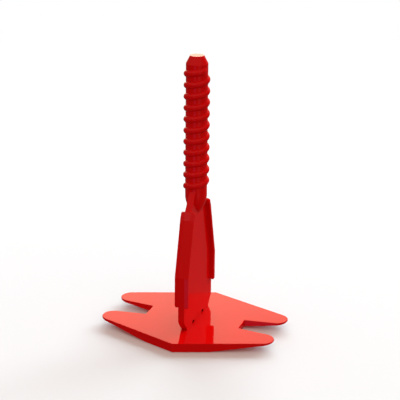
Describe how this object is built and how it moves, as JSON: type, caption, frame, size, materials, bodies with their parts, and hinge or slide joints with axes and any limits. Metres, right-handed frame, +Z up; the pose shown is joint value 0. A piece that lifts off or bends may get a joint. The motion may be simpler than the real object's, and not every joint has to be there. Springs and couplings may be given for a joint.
{
  "type": "tile levelling clip",
  "caption": "Moulded tile levelling clip: notched base plate, break-off blade with thickened edges, and a coarse threaded stem for a pressing knob.",
  "frame": {"origin": "centre of the base plate's underside", "axes": "+X along the plate's length from notch to notch, +Y along the blade's width, +Z up along the threaded stem"},
  "size_m": [0.0562, 0.0416, 0.0874],
  "materials": {
    "red_plastic": "glossy injection-moulded plastic, coloured right through"
  },
  "bodies": {
    "root": {"levelling_clip": "red_plastic"}
  },
  "joints": []
}
